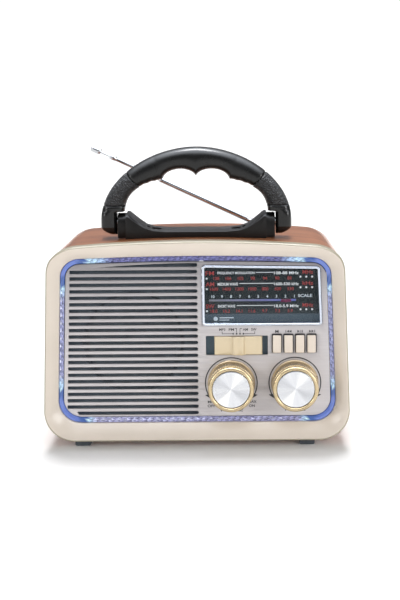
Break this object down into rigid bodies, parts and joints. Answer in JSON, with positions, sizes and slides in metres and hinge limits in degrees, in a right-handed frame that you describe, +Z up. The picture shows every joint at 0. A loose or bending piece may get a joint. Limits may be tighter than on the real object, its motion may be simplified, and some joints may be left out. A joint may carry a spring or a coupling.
{
  "type": "portable radio",
  "caption": "Portable table radio: wood-grain case, cream bezel with light ring, slotted speaker plate, dial, push buttons, knobs, folding handle, telescopic antenna.",
  "frame": {"origin": "centre of the bounding box in plan, on the plane of the feet", "axes": "+X to the radio's right as seen from the front, +Y towards its back, +Z up; the front faces -Y"},
  "size_m": [0.2416, 0.1366, 0.237],
  "materials": {
    "wood_grain": "glossy printed wood grain",
    "cream_plastic": "pearl cream, satin gloss",
    "cream_keys": "pearl cream",
    "clear_light_plastic": "clear faceted acrylic lit blue",
    "champagne_plate": "champagne metallic",
    "bright_frame": "polished",
    "clear_window": "clear",
    "black_print": "black with printed scale",
    "red_pointer": "red",
    "zinc_steel": "zinc plated",
    "gold_cream": "pale gold paint",
    "circuit_board": "green solder mask",
    "gold_knob": "pale gold metallised",
    "spun_aluminium": "spun",
    "dark_plastic": "moulded black",
    "capacitor_case": "grey",
    "speaker_paper": "black paper pulp",
    "black_grip": "satin black",
    "black_sleeve": "fine leather-like texture",
    "black_arm": "satin black",
    "black_base": "satin black",
    "cell_jacket": "printed jacket",
    "chrome": "polished",
    "rubber": "matt"
  },
  "bodies": {
    "case": {"cabinet_shell": "wood_grain", "front_bezel": "cream_plastic", "light_ring": "clear_light_plastic", "front_panel": "champagne_plate", "dial_frame": "bright_frame", "dial_window": "clear_window", "dial_scale": "black_print", "pointer_rail": "zinc_steel", "switch_well": "black_print", "key_board": "circuit_board", "volume_ring": "gold_knob", "tuning_ring": "gold_knob", "volume_control": "zinc_steel", "tuning_capacitor": "capacitor_case", "speaker_baffle": "dark_plastic", "speaker_basket": "dark_plastic", "speaker_cone": "speaker_paper", "speaker_magnet": "zinc_steel", "handle_base": "black_base", "base_screw_left": "zinc_steel", "base_screw_right": "zinc_steel", "rear_cover": "dark_plastic", "battery_tray": "dark_plastic", "battery_cell_lower": "cell_jacket", "battery_cell_upper": "cell_jacket", "usb_socket": "zinc_steel", "main_board": "circuit_board", "ferrite_rod": "dark_plastic", "antenna_bracket": "dark_plastic", "foot_front_left": "rubber", "foot_front_right": "rubber", "foot_rear_left": "rubber", "foot_rear_right": "rubber"},
    "handle": {"handle_grip": "black_grip", "handle_sleeve_left": "black_sleeve", "handle_sleeve_right": "black_sleeve", "handle_arm_left": "black_arm", "handle_arm_right": "black_arm", "handle_pin_left": "zinc_steel", "handle_pin_right": "zinc_steel"},
    "volume": {"volume_knob": "gold_knob", "volume_disc": "spun_aluminium", "volume_shaft": "zinc_steel"},
    "tuning": {"tuning_knob": "gold_knob", "tuning_disc": "spun_aluminium", "tuning_shaft": "zinc_steel", "dial_drum": "dark_plastic"},
    "pointer": {"tuning_pointer": "red_pointer"},
    "band": {"band_slider": "gold_cream"},
    "key_mode": {"button_mode": "cream_keys"},
    "key_previous": {"button_previous": "cream_keys"},
    "key_play": {"button_play": "cream_keys"},
    "key_next": {"button_next": "cream_keys"},
    "battery_lid": {"battery_door": "dark_plastic"},
    "antenna_swivel": {"antenna_knuckle": "chrome"},
    "antenna_tube": {"antenna_section_1": "chrome"},
    "antenna_middle": {"antenna_section_2": "chrome"},
    "antenna_rod": {"antenna_section_3": "chrome"}
  },
  "joints": [
    {"name": "handle_fold", "type": "hinge", "parent": "case", "child": "handle", "pos_m": [0, -0.01375, 0.1765], "axis": [1, 0, 0], "range_deg": [-82, 82]},
    {"name": "volume_turn", "type": "hinge", "parent": "case", "child": "volume", "pos_m": [0.0272, -0.05475, 0.0514], "axis": [0, 1, 0], "range_deg": [-150, 150]},
    {"name": "tuning_turn", "type": "hinge", "parent": "case", "child": "tuning", "pos_m": [0.0776, -0.05475, 0.0514], "axis": [0, 1, 0], "range_deg": [-242, 27]},
    {"name": "pointer_slide", "type": "slide", "parent": "case", "child": "pointer", "axis": [1, 0, 0], "range_m": [-0.0599, 0.0068]},
    {"name": "band_slide", "type": "slide", "parent": "case", "child": "band", "axis": [1, 0, 0], "range_m": [-0.0054, 0.0027]},
    {"name": "press_mode", "type": "slide", "parent": "case", "child": "key_mode", "axis": [0, 1, 0], "range_m": [0, 0.0012], "stiffness_N_per_m": 600},
    {"name": "press_previous", "type": "slide", "parent": "case", "child": "key_previous", "axis": [0, 1, 0], "range_m": [0, 0.0012], "stiffness_N_per_m": 600},
    {"name": "press_play", "type": "slide", "parent": "case", "child": "key_play", "axis": [0, 1, 0], "range_m": [0, 0.0012], "stiffness_N_per_m": 600},
    {"name": "press_next", "type": "slide", "parent": "case", "child": "key_next", "axis": [0, 1, 0], "range_m": [0, 0.0012], "stiffness_N_per_m": 600},
    {"name": "battery_lid_open", "type": "hinge", "parent": "case", "child": "battery_lid", "pos_m": [-0.033, 0.05145, 0.0195], "axis": [-1, 0, 0], "range_deg": [0, 95]},
    {"name": "antenna_turn", "type": "hinge", "parent": "case", "child": "antenna_swivel", "pos_m": [0.088, 0.06375, 0.1453], "axis": [0, 1, 0], "range_deg": [-20, 110]},
    {"name": "antenna_tilt", "type": "hinge", "parent": "antenna_swivel", "child": "antenna_tube", "pos_m": [0.088, 0.06375, 0.1453], "axis": [-0.4258, 0, -0.9048], "range_deg": [0, 90]},
    {"name": "antenna_pull_1", "type": "slide", "parent": "antenna_tube", "child": "antenna_middle", "axis": [-0.9048, 0, 0.4258], "range_m": [-0.038, 0.05]},
    {"name": "antenna_pull_2", "type": "slide", "parent": "antenna_middle", "child": "antenna_rod", "axis": [-0.9048, 0, 0.4258], "range_m": [-0.007, 0.06]}
  ],
  "couplings": [
    {"joint": "pointer_slide", "follows": "tuning_turn", "m_per_rad": 0.0141}
  ]
}
